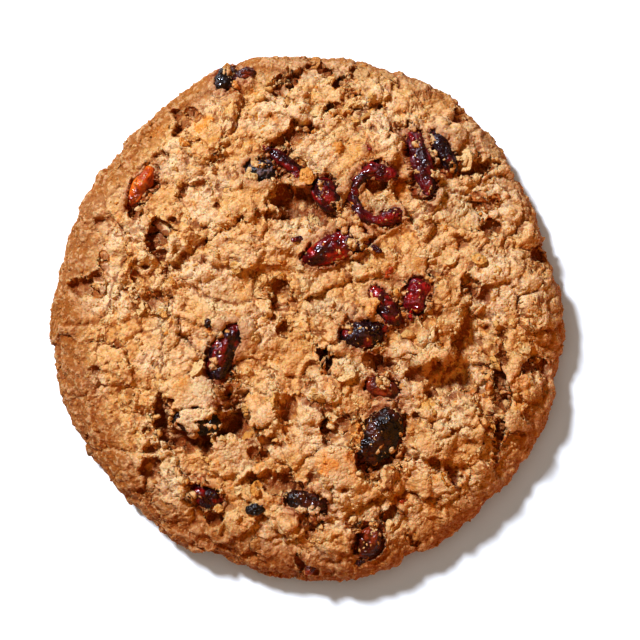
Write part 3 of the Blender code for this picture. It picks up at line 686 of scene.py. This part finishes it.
# ---------------------------------------------------------------------------------------------
# Raisins and dried cranberries: whole grapes and cut berries that lost their water. Their skins
# shrank into folds, and sugar makes them glossy where the dough doesn't cover them.
# ---------------------------------------------------------------------------------------------

SKIN_LEVELS = 3
FLAT_ENOUGH = math.radians(60)
# Sizes of the wrinkles in millimetres, before each fruit's own height: whole fruit, then small bits.
FOLD_GAIN, LUMP_GAIN = 0.85, 0.75
FRUIT_WRINKLES = {"Fold Width": 1.8, "Lump Size": 2.6}
BIT_WRINKLES = {
    "Fold Height": 0.3, "Fold Width": 0.9, "Lump Height": 0.7, "Lump Size": 1.2, "Bearing": 0.0, "Seed": 80.0,
}
# Bearing of each fruit's folds in degrees, the height of its folds and lumps in mm, and its skin.
FRUIT_LOOKS = {
    "raisin_top_edge": (62, 0.45, 0.9, "raisin_black"), "raisin_floury": (8, 0.45, 0.9, "raisin_floured"),
    "raisin_left": (68, 0.5, 1.2, "raisin_wine"), "raisin_capped": (-8, 0.4, 0.9, "raisin_black"),
    "raisin_large": (60, 0.55, 1.4, "raisin_black"), "raisin_paired": (62, 0.45, 1.1, "raisin_wine"),
    "raisin_sheltered": (-18, 0.4, 1.0, "raisin_brown"), "raisin_south": (-14, 0.4, 1.0, "raisin_black"),
    "raisin_low_edge": (70, 0.5, 1.2, "raisin_brown"), "cranberry_amber": (62, 0.25, 0.8, "cranberry_amber"),
    "cranberry_strip": (-48, 0.25, 0.8, "cranberry_dark"),
    "cranberry_shaded": (112, 0.25, 0.9, "cranberry_dark"),
    "cranberry_curled": (20, 0.35, 1.0, "cranberry_deep"),
    "cranberry_split": (106, 0.4, 1.0, "cranberry_deep"),
    "cranberry_split_half": (118, 0.4, 1.0, "raisin_wine"),
    "cranberry_glossy": (24, 0.3, 1.2, "cranberry_red"),
    "cranberry_square": (72, 0.4, 1.0, "cranberry_bright"),
    "cranberry_paired": (-52, 0.3, 1.0, "cranberry_dark"),
    "cranberry_dull": (-28, 0.3, 0.9, "cranberry_dark"),
}


def folds(tree, place, seed, width):
    """Rounded folds with sharp creases, from 0 in a crease to 1."""
    density = add(tree, MATH, {0: 1.0, 1: width}, operation="DIVIDE")
    away = add(tree, NOISE, {"Vector": place, "W": seed, "Scale": density, "Detail": 1.5, "Roughness": 0.45},
               noise_dimensions="4D")
    for operation, value in (("SUBTRACT", 0.5), ("ABSOLUTE", 0.0), ("MULTIPLY", 6.5), ("MINIMUM", 1.0),
                             ("POWER", 0.6)):
        away = add(tree, MATH, {0: away, 1: value}, operation=operation)
    return away


def skin_tree():
    """Shrinks a smooth fruit into lumps and into folds that run mostly along it, with finer puckers."""
    tree, size = geometry_tree("shrunken_skin", BIT_WRINKLES)
    place = add(tree, "GeometryNodeInputPosition")
    outward = add(tree, "GeometryNodeInputNormal")
    in_mm = add(tree, VECTOR_MATH, {0: place, "Scale": 1.0 / MM}, operation="SCALE")
    turned = add(tree, "ShaderNodeVectorRotate", {"Vector": in_mm, "Angle": size["Bearing"]},
                 rotation_type="Z_AXIS")
    drawn_out = add(tree, VECTOR_MATH, {0: turned, 1: (0.45, 1.0, 1.0)}, operation="MULTIPLY")

    density = add(tree, MATH, {0: 1.0, 1: size["Lump Size"]}, operation="DIVIDE")
    lumps = add(tree, NOISE, {
        "Vector": in_mm, "W": size["Seed"], "Detail": 1.0, "Scale": density}, noise_dimensions="4D")
    lumps = layer(tree, lumps, 0.28, size["Lump Height"])
    deep = layer(tree, folds(tree, drawn_out, size["Seed"], size["Fold Width"]), 0.75, 1.0)
    fine_width = add(tree, MATH, {0: size["Fold Width"], 1: 0.45}, operation="MULTIPLY")
    folded = layer(tree, folds(tree, in_mm, size["Seed"], fine_width), 0.75, 0.45, deep)
    height = add(tree, MATH, {0: folded, 1: size["Fold Height"], 2: lumps}, operation="MULTIPLY_ADD")
    height = add(tree, MATH, {0: height, 1: MM}, operation="MULTIPLY")
    offset = add(tree, VECTOR_MATH, {0: outward, "Scale": height}, operation="SCALE")
    moved = add(tree, "GeometryNodeSetPosition", {"Geometry": size["Geometry"], "Offset": offset})
    moved = add(tree, NOTE, {"Geometry": moved, "Name": "fold", "Value": folded})
    finish_tree(tree, size, moved)
    return tree


def skin_material(name, body, coats, rough, glow):
    """Shrunken fruit skin: painted shade in the creases, red patches partly painted glow, sticky sugar beads.
    """
    made, tree, shader, where = coated_material(name, body, coats, {
        "Specular IOR Level": 0.6, "Subsurface Weight": glow, "Subsurface Radius": (1.0, 0.15, 0.08),
        "Subsurface Scale": 1.0 * MM,
    })
    sugar = add(tree, NOISE, {"Vector": where, "Scale": 1.0 / (0.9 * MM), "Detail": 2.0})
    sheen = add(tree, MAP_RANGE, {
        "Value": sugar, "From Min": 0.42, "From Max": 0.62, "To Min": rough, "To Max": rough + 0.3})
    tree.links.new(sheen.outputs[0], shader.inputs["Roughness"])
    beads = add(tree, NOISE, {"Vector": where, "Scale": 1.0 / (0.55 * MM), "Detail": 1.0})
    bump = add(tree, "ShaderNodeBump", {"Height": beads, "Strength": 1.0, "Distance": 0.28 * MM})
    tree.links.new(bump.outputs[0], shader.inputs["Normal"])
    return made


def smooth_copy(mesh):
    """A copy of a solid with its loose triangles merged into quads and subdivided."""
    mesh = mesh.copy()
    work = bmesh.new()
    work.from_mesh(mesh)
    bmesh.ops.remove_doubles(work, verts=work.verts, dist=0.001 * MM)
    bmesh.ops.join_triangles(work, faces=work.faces, angle_face_threshold=FLAT_ENOUGH,
                             angle_shape_threshold=FLAT_ENOUGH)
    work.to_mesh(mesh)
    work.free()
    mesh.shade_smooth()
    return applied(mesh, "SUBSURF", {"levels": SKIN_LEVELS, "render_levels": SKIN_LEVELS}, {})


# Skins: ground colour, coats of colour patches, the colour in the creases and how much it hides,
# how rough the shiniest spots are, and how much light passes in. The crease colour is painted shade;
# the bright red patches are the fruit's red and partly a painted glow of light through thin skin, and
# the greyish-lavender patches are sugar frost and painted sheen.
SKINS = {
    "raisin_black": ("#24100c", ((3.4, 0.46, 0.62, "#5a2412", 0.9),), "#0c0504", 0.7, 0.2, 0.2),
    "raisin_wine": ("#320c14", ((3.0, 0.5, 0.62, "#8a1c18", 0.9), (1.6, 0.54, 0.66, "#54424e", 0.5)),
                    "#1a0608", 0.7, 0.16, 0.35),
    "raisin_brown": ("#5a2012", ((2.8, 0.44, 0.62, "#9a4420", 0.9),), "#2a0c08", 0.7, 0.22, 0.35),
    "cranberry_red": ("#7c1018", ((3.6, 0.44, 0.58, "#c02414", 0.95), (3.0, 0.48, 0.6, "#340e16", 0.9)),
                      "#3c0508", 0.6, 0.12, 0.5),
    "cranberry_deep": ("#681018", ((3.4, 0.44, 0.62, "#9c1c20", 0.9), (3.0, 0.48, 0.62, "#2c0a10", 0.9),
                                   (0.9, 0.54, 0.66, "#7c5056", 0.45)), "#300608", 0.6, 0.18, 0.45),
    "cranberry_bright": ("#84121e", ((2.4, 0.48, 0.64, "#b42c28", 0.95), (0.9, 0.56, 0.68, "#a06068", 0.45)),
                         "#4c080c", 0.6, 0.18, 0.5),
    "cranberry_dark": ("#500c14", ((3.0, 0.44, 0.6, "#a01c14", 0.9), (2.2, 0.54, 0.66, "#2a0c14", 0.8)),
                       "#1c0508", 0.7, 0.18, 0.4),
    "cranberry_amber": ("#b04c14", ((2.6, 0.46, 0.62, "#dc7a20", 0.95),), "#6a1e08", 0.7, 0.18, 0.55),
}
CREASE_SHADE_START, CREASE_SHADE_FULL = -0.1, -0.7

skins = {
    name: skin_material(name, body, (*coats, ("fold", CREASE_SHADE_START, CREASE_SHADE_FULL, crease, most)), rough, glow)
    for name, (body, coats, crease, most, rough, glow) in SKINS.items()
}
# Flour lies over the creases of the floured raisin, so its last coat comes after them.
# Its crease colour is painted shade too.
skins["raisin_floured"] = skin_material("raisin_floured", "#1c141c", (
    (3.0, 0.5, 0.66, "#3a1c1c", 0.8), ("fold", CREASE_SHADE_START, CREASE_SHADE_FULL, "#080405", 0.7),
    (0.9, 0.48, 0.62, "#94868c", 0.75)), 0.35, 0.1)

skin_maker = skin_tree()
fruit_points, fruit_faces = [], []
for number, (node, (bearing, fold_height, lump_height, skin)) in enumerate(FRUIT_LOOKS.items()):
    fruit = shaped(node + "_skin", smooth_copy(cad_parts[node].data), skin_maker, {
        "Fold Height": FOLD_GAIN * fold_height, "Lump Height": LUMP_GAIN * lump_height,
        "Bearing": -math.radians(bearing), "Seed": 3.7 * number, **FRUIT_WRINKLES,
    }, skins[skin])
    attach(fruit, "root")
    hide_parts(node)
    first = len(fruit_points)
    fruit_points += [vertex.co[:] for vertex in fruit.data.vertices]
    fruit_faces += [tuple(first + corner for corner in face.vertices) for face in fruit.data.polygons]

# Small bits of fruit that show between the plates: east, north, length, width and bearing in
# millimetres and degrees, how far the bit is sunk, and its skin.
FRUIT_BITS = (
    (-8.7, -32.9, 3.8, 2, 10, 0.2, "raisin_black"), (0.5, -43.2, 2.6, 1.8, 60, 0.3, "raisin_brown"),
    (-29.3, 22.6, 1.6, 1, 70, 0, "raisin_black"), (-10.9, 41.7, 4.6, 3.2, 30, 0.4, "raisin_brown"),
    (10.6, 28.4, 2.2, 1.2, 60, 0.2, "cranberry_dark"), (-1.9, 23.9, 2, 1.5, 0, 0, "cranberry_red"),
    (-16.8, -1.6, 1.8, 1.2, 80, 0.1, "raisin_black"), (-21.6, -17.2, 2.2, 1.3, 40, -0.2, "raisin_black"),
    (-15.6, -17.4, 1.9, 1.2, 120, -0.2, "raisin_black"), (9.2, -42, 2.2, 1.3, 30, 0.2, "cranberry_red"),
    (24.2, 25.8, 1.8, 1.2, 40, 0, "raisin_brown"), (-1.6, 12.9, 2.4, 0.9, 15, 0, "cranberry_dark"),
    (11.6, 11, 2.4, 1, -30, 0, "cranberry_dark"), (13.8, 7, 2.4, 1, 60, 0.1, "cranberry_amber"),
    (17.6, -0.2, 1.8, 0.9, 80, 0.1, "cranberry_red"), (12.6, -1.6, 4.2, 2.6, -62, 0.2, "cranberry_dark"),
    (12.4, 24.3, 5.2, 3, -26, -0.3, "cranberry_deep"), (13.9, 16.6, 4.2, 2.4, 28, -0.2, "cranberry_deep"),
    (-31.2, 18.6, 1.6, 1.4, 60, 0.2, "cranberry_amber"), (16.2, -31.6, 1.4, 0.8, 0, 0, "cranberry_amber"),
    (-7, 28.6, 1.6, 1.1, -30, 0, "cranberry_dark"), (2.3, -35.2, 1.6, 1, 40, 0.2, "raisin_black"),
)
BIT_THICKNESS = 0.75
BEAD_SIDES, BEAD_ROWS = 10, 6


def lie_on(tree, east, north):
    """Height in millimetres of a baked surface below a place."""
    hit = tree.ray_cast((east * MM, north * MM, 1.0), (0.0, 0.0, -1.0))[0]
    return hit[2] / MM


def bead(east, north, height, length, width, thick, bearing):
    """Vertices and faces of one closed oval lump, lying along a bearing."""
    east_part, north_part = math.cos(math.radians(bearing)), math.sin(math.radians(bearing))
    points, faces = [(0.0, 0.0, 0.5 * thick)], []
    for row in range(1, BEAD_ROWS):
        steep = math.pi * row / BEAD_ROWS
        for step in range(BEAD_SIDES):
            angle = 2 * math.pi * step / BEAD_SIDES
            along = 0.5 * length * math.sin(steep) * math.cos(angle)
            aside = 0.5 * width * math.sin(steep) * math.sin(angle)
            points.append((along * east_part - aside * north_part, along * north_part + aside * east_part,
                           0.5 * thick * math.cos(steep)))
    points.append((0.0, 0.0, -0.5 * thick))
    last = 1 + (BEAD_ROWS - 2) * BEAD_SIDES
    for step in range(BEAD_SIDES):
        following = (step + 1) % BEAD_SIDES
        faces.append((0, 1 + step, 1 + following))
        for row in range(BEAD_ROWS - 2):
            first, second = 1 + row * BEAD_SIDES, 1 + (row + 1) * BEAD_SIDES
            faces.append((first + step, second + step, second + following, first + following))
        faces.append((last + following, last + step, len(points) - 1))
    return [(x + east, y + north, z + height) for x, y, z in points], faces


baked = BVHTree.FromPolygons([vertex.co[:] for vertex in dough.data.vertices],
                             [tuple(face.vertices) for face in dough.data.polygons])
for skin in sorted({bit[-1] for bit in FRUIT_BITS}):
    points, faces = [], []
    for east, north, length, width, bearing, sunk, kind in FRUIT_BITS:
        if kind == skin:
            height = lie_on(baked, east, north) - sunk
            made_points, made_faces = bead(east, north, height, length, width, BIT_THICKNESS * width, bearing)
            faces += [tuple(len(points) + corner for corner in face) for face in made_faces]
            points += made_points
    bit_mesh = bpy.data.meshes.new(skin + "_bits")
    bit_mesh.from_pydata((np.array(points) * MM).tolist(), [], faces)
    bits = shaped(skin + "_bits", smooth_copy(bit_mesh), skin_maker, BIT_WRINKLES, skins[skin])
    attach(bits, "root")

# ---------------------------------------------------------------------------------------------
# Crumbs: bits of dough that tore loose as the top cracked and baked on where they lie, from
# grains of sugar and flour up to lumps of 2 mm.
# ---------------------------------------------------------------------------------------------

GRAIN_SIZES = {
    "Count Per Area": 1300000.0, "Smallest": 0.3, "Largest": 0.95, "Small Share": 1.6, "Sunk Share": 0.16,
    "Lump Size": 0.4, "Lump Height": 0.55,
}
# Crumbs stuck to the fruit are larger and sit deeper, and the fruit has the same notes all over
# that the dough has from place to place.
STUCK_SIZES = {**GRAIN_SIZES, "Count Per Area": 900000.0, "Smallest": 0.5, "Largest": 2.0, "Sunk Share": 0.38}
STUCK_NOTES = {"craggy": 1.0, "steep": 0.2, "stain_and_shade": 0.6}
NUGGET_SIZES = {
    "Count Per Area": 300000.0, "Smallest": 0.7, "Largest": 1.9, "Small Share": 1.9, "Sunk Share": 0.32,
    "Lump Size": 0.7, "Lump Height": 1.2,
}


def scattered_points(tree, size):
    """Points on the upper side, in clusters, and denser on steep and craggy dough."""
    names = ("craggy", "steep")
    craggy, steep = (add(tree, NOTED, {"Name": name}).outputs["Attribute"] for name in names)
    place = add(tree, "GeometryNodeInputPosition")
    clusters = add(tree, NOISE, {"Vector": place, "Scale": 1.0 / (4.0 * MM), "Detail": 2.0})
    clusters = add(tree, MAP_RANGE, {"Value": clusters, "From Min": 0.42, "From Max": 0.62, "To Min": 0.1})
    on_edges = add(tree, MAP_RANGE, {"Value": steep, "From Max": 0.4, "To Min": 0.4, "To Max": 1.6})
    dense = craggy
    for factor in (clusters, on_edges, size["Count Per Area"]):
        dense = add(tree, MATH, {0: dense, 1: factor}, operation="MULTIPLY")
    up = add(tree, "ShaderNodeSeparateXYZ", {"Vector": add(tree, "GeometryNodeInputNormal")}).outputs["Z"]
    facing_up = add(tree, "FunctionNodeCompare", {"A": up, "B": 0.05}, operation="GREATER_THAN")
    return add(tree, "GeometryNodeDistributePointsOnFaces", {
        "Mesh": size["Geometry"], "Density": dense, "Selection": facing_up, "Seed": 4})


def scatter_tree(name, sizes, rounds, least, most, tilt):
    """Scatters ragged bits over the dough, partly sunk, each with its own size, turn and shade."""
    tree, size = geometry_tree(name, sizes)
    points = scattered_points(tree, size)
    chance = add(tree, "FunctionNodeRandomValue", {"Seed": 11}).outputs["Value"]
    spread = add(tree, MATH, {0: chance, 1: size["Small Share"]}, operation="POWER")
    width = add(tree, MAP_RANGE, {"Value": spread, "To Min": size["Smallest"], "To Max": size["Largest"]})
    width = add(tree, MATH, {0: width, 1: MM}, operation="MULTIPLY")
    lump = add(tree, "GeometryNodeMeshIcoSphere", {"Radius": 0.5, "Subdivisions": rounds})
    shape = add(tree, "FunctionNodeRandomValue", {"Seed": 5}, data_type="FLOAT_VECTOR")
    shape.inputs["Min"].default_value, shape.inputs["Max"].default_value = least, most
    scale = add(tree, VECTOR_MATH, {0: shape.outputs["Value"], "Scale": width}, operation="SCALE")
    turn = add(tree, "FunctionNodeRandomValue", {"Seed": 6}, data_type="FLOAT_VECTOR")
    turn.inputs["Min"].default_value = (-tilt, -tilt, 0.0)
    turn.inputs["Max"].default_value = (tilt, tilt, 2 * math.pi)
    turn = add(tree, "FunctionNodeEulerToRotation", {"Euler": turn.outputs["Value"]})
    turned = add(tree, "FunctionNodeRotateRotation", {
        "Rotation": points.outputs["Rotation"], "Rotate By": turn}, rotation_space="LOCAL")
    sunk = add(tree, MATH, {0: width, 1: size["Sunk Share"]}, operation="MULTIPLY")
    sunk = add(tree, MATH, {0: sunk, 1: -1.0}, operation="MULTIPLY")
    down = add(tree, VECTOR_MATH, {0: points.outputs["Normal"], "Scale": sunk}, operation="SCALE")
    seats = add(tree, "GeometryNodeSetPosition", {"Geometry": points.outputs["Points"], "Offset": down})
    bits = add(tree, "GeometryNodeInstanceOnPoints", {
        "Points": seats, "Instance": lump, "Rotation": turned, "Scale": scale})
    shade = add(tree, "FunctionNodeRandomValue", {"Seed": 8}).outputs["Value"]
    bits = add(tree, NOTE, {"Geometry": bits, "Name": "shade", "Value": shade}, domain="INSTANCE")
    solid = add(tree, "GeometryNodeRealizeInstances", {"Geometry": bits})
    place = add(tree, "GeometryNodeInputPosition")
    density = add(tree, MATH, {0: 1.0 / MM, 1: size["Lump Size"]}, operation="DIVIDE")
    cloud = add(tree, NOISE, {"Vector": place, "Scale": density, "Detail": 2.0, "Roughness": 0.6})
    push = add(tree, VECTOR_MATH, {0: cloud.outputs["Color"], 1: (0.5, 0.5, 0.5)}, operation="SUBTRACT")
    reach = add(tree, MATH, {0: size["Lump Height"], 1: MM}, operation="MULTIPLY")
    push = add(tree, VECTOR_MATH, {0: push, "Scale": reach}, operation="SCALE")
    solid = add(tree, "GeometryNodeSetPosition", {"Geometry": solid, "Offset": push})
    solid = add(tree, "GeometryNodeSetShadeSmooth", {"Geometry": solid})
    finish_tree(tree, size, solid)
    return tree


# What the dough noted where each crumb lies colours the crumb too: its pale flour coat is partly
# painted light, its hollow and sunk coats are painted shade, and its stain coat is juice stain and
# painted shade.
CRUMB_COATS = (
    ("floury", 0.1, 1.0, "#d8c8a4", 0.7), ("golden", 0.1, 1.0, "#dc8e24", 0.7),
    ("toasted", 0.0, 1.0, "#a8681e", 0.8), ("stain_and_shade", 0.35, 1.0, "#9c4e24", 0.4),
    ("hollow", 0.8, 2.4, "#98500e", 0.6), ("sunk", 0.3, 1.0, "#8a4208", 0.4),
)


def crumb_material(name, body, tanned, golden, rough):
    """Baked crumb, each bit its own shade between floury and golden, sandy all over."""
    shades = (("shade", 0.3, 0.7, tanned, 1.0), ("shade", 0.85, 0.97, golden, 1.0))
    made, tree, shader, where = coated_material(name, body, (*shades, *CRUMB_COATS), {
        "Roughness": rough, "Subsurface Weight": 0.15, "Subsurface Radius": (1.0, 0.4, 0.15),
        "Subsurface Scale": 0.4 * MM,
    })
    sanded(tree, where, shader, depth=0.2)
    return made


fruit_tops = bpy.data.meshes.new("fruit_tops")
fruit_tops.from_pydata(fruit_points, [], fruit_faces)
for name, value in STUCK_NOTES.items():
    fruit_tops.attributes.new(name, "FLOAT", "POINT").data.foreach_set("value", [value] * len(fruit_points))

crumb = crumb_material("baked_crumb", "#dabb8a", "#d2a566", "#cc8a38", 0.75)
grain_tree = scatter_tree("loose_grains", GRAIN_SIZES, rounds=1, least=(0.7, 0.6, 0.45),
                          most=(1.3, 1.1, 0.95), tilt=math.pi)
nugget_tree = scatter_tree("torn_nuggets", NUGGET_SIZES, rounds=2, least=(0.7, 0.6, 0.45),
                           most=(1.3, 1.1, 0.8), tilt=0.6)
for name, mesh, tree, sizes in (
    ("dough_grains", dough.data, grain_tree, GRAIN_SIZES),
    ("fruit_crumbs", fruit_tops, grain_tree, STUCK_SIZES),
    ("dough_nuggets", dough.data, nugget_tree, NUGGET_SIZES),
):
    crumbs = shaped(name, mesh, tree, sizes, crumb)
    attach(crumbs, "root")

# ---------------------------------------------------------------------------------------------
# Oat flakes: rolled oats, steamed and pressed flat, which lie in the surface like scales. Butter
# soaks them, so they bake golden and smoother than the crumb.
# ---------------------------------------------------------------------------------------------

FLAKE_SIZES = {
    "Count Per Area": 26000.0, "Smallest": 1.6, "Largest": 3.8, "Small Share": 1.8, "Sunk Share": 0.08,
    "Lump Size": 0.8, "Lump Height": 1.4,
}
flake_tree = scatter_tree("rolled_oats", FLAKE_SIZES, rounds=3, least=(0.75, 0.55, 0.12),
                          most=(1.25, 0.95, 0.22), tilt=0.25)
buttered_oat = crumb_material("buttered_oat", "#d8b680", "#d4a45c", "#cc8a34", 0.55)
flakes = shaped("oat_flakes", dough.data, flake_tree, FLAKE_SIZES, buttered_oat)
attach(flakes, "root")

# ---------------------------------------------------------------------------------------------
# Camera, floor and light: nearly straight down, with one hard light from the upper left and a
# warm bounce from the lower right.
# ---------------------------------------------------------------------------------------------

VIEW_CENTRE = Vector((2.2, -0.5, 3.4)) * MM
VIEW_WIDTH = 112.0 * MM
VIEW_ELEVATION = 87.0
LENS = 90.0
KEY_BEARING, KEY_ELEVATION, KEY_DISTANCE = 131.0, 45.0, 0.9
FLOOR_REACH = 3.0


def toward(bearing, elevation):
    """The direction at a bearing and an elevation in degrees."""
    flat, bearing = math.cos(math.radians(elevation)), math.radians(bearing)
    return Vector((flat * math.cos(bearing), flat * math.sin(bearing), math.sin(math.radians(elevation))))


def area_light(name, size, energy, tint, place):
    """A new light with an even square face, turned to the middle of the cookie."""
    data = bpy.data.lights.new(name, "AREA")
    data.size, data.energy, data.color = size, energy, tint
    light = bpy.data.objects.new(name, data)
    scene.collection.objects.link(light)
    light.location = place
    light.rotation_euler = (-light.location).to_track_quat("-Z", "Y").to_euler()
    return light


camera_data = bpy.data.cameras.new("camera")
camera_data.lens = LENS
camera_data.clip_start = 0.01
camera = bpy.data.objects.new("camera", camera_data)
scene.collection.objects.link(camera)
camera.location = VIEW_CENTRE + toward(-90.0, VIEW_ELEVATION) * (VIEW_WIDTH * LENS / camera_data.sensor_width)
camera.rotation_euler = (VIEW_CENTRE - camera.location).to_track_quat("-Z", "Y").to_euler()
scene.camera = camera

floor_mesh = bpy.data.meshes.new("floor")
floor_corners = [(x * FLOOR_REACH, y * FLOOR_REACH, 0.0) for x, y in ((-1, -1), (1, -1), (1, 1), (-1, 1))]
floor_mesh.from_pydata(floor_corners, [], [(0, 1, 2, 3)])
floor = bpy.data.objects.new("floor", floor_mesh)
scene.collection.objects.link(floor)
# White paper: matt, so that only its brightness shows.
paper = bpy.data.materials.new("white_paper")
paper.use_nodes = True
paper.node_tree.nodes["Principled BSDF"].inputs["Base Color"].default_value = colour("#f7f7f7")
paper.node_tree.nodes["Principled BSDF"].inputs["Roughness"].default_value = 0.9
floor_mesh.materials.append(paper)

key_place = toward(KEY_BEARING, KEY_ELEVATION) * KEY_DISTANCE
key = area_light("key", size=0.13, energy=12.2, tint=(0.86, 0.96, 1.11), place=key_place)
key.data.shape = "DISK"
fill = area_light("floor_fill", size=1.5, energy=6.0, tint=(1.0, 1.0, 1.0), place=(0.0, 0.0, 1.2))
# It hangs straight above, where a light that isn't turned faces down.
fill.rotation_euler = (0.0, 0.0, 0.0)
bounce = area_light("warm_bounce", size=1.2, energy=5.8, tint=(1.0, 0.38, 0.03), place=(0.4, -0.45, 0.7))

floor_only = bpy.data.collections.new("floor_only")
floor_only.objects.link(floor)
fill.light_linking.receiver_collection = floor_only
all_but_floor = bpy.data.collections.new("all_but_floor")
all_but_floor.objects.link(floor)
all_but_floor.collection_objects[0].light_linking.link_state = "EXCLUDE"
bounce.light_linking.receiver_collection = all_but_floor

world = bpy.data.worlds.new("studio")
world.use_nodes = True
world.node_tree.nodes["Background"].inputs["Color"].default_value = (1.0, 0.6, 0.2, 1.0)
world.node_tree.nodes["Background"].inputs["Strength"].default_value = 0.1
scene.world = world
scene.view_settings.view_transform = "Standard"
scene.view_settings.gamma = 0.77
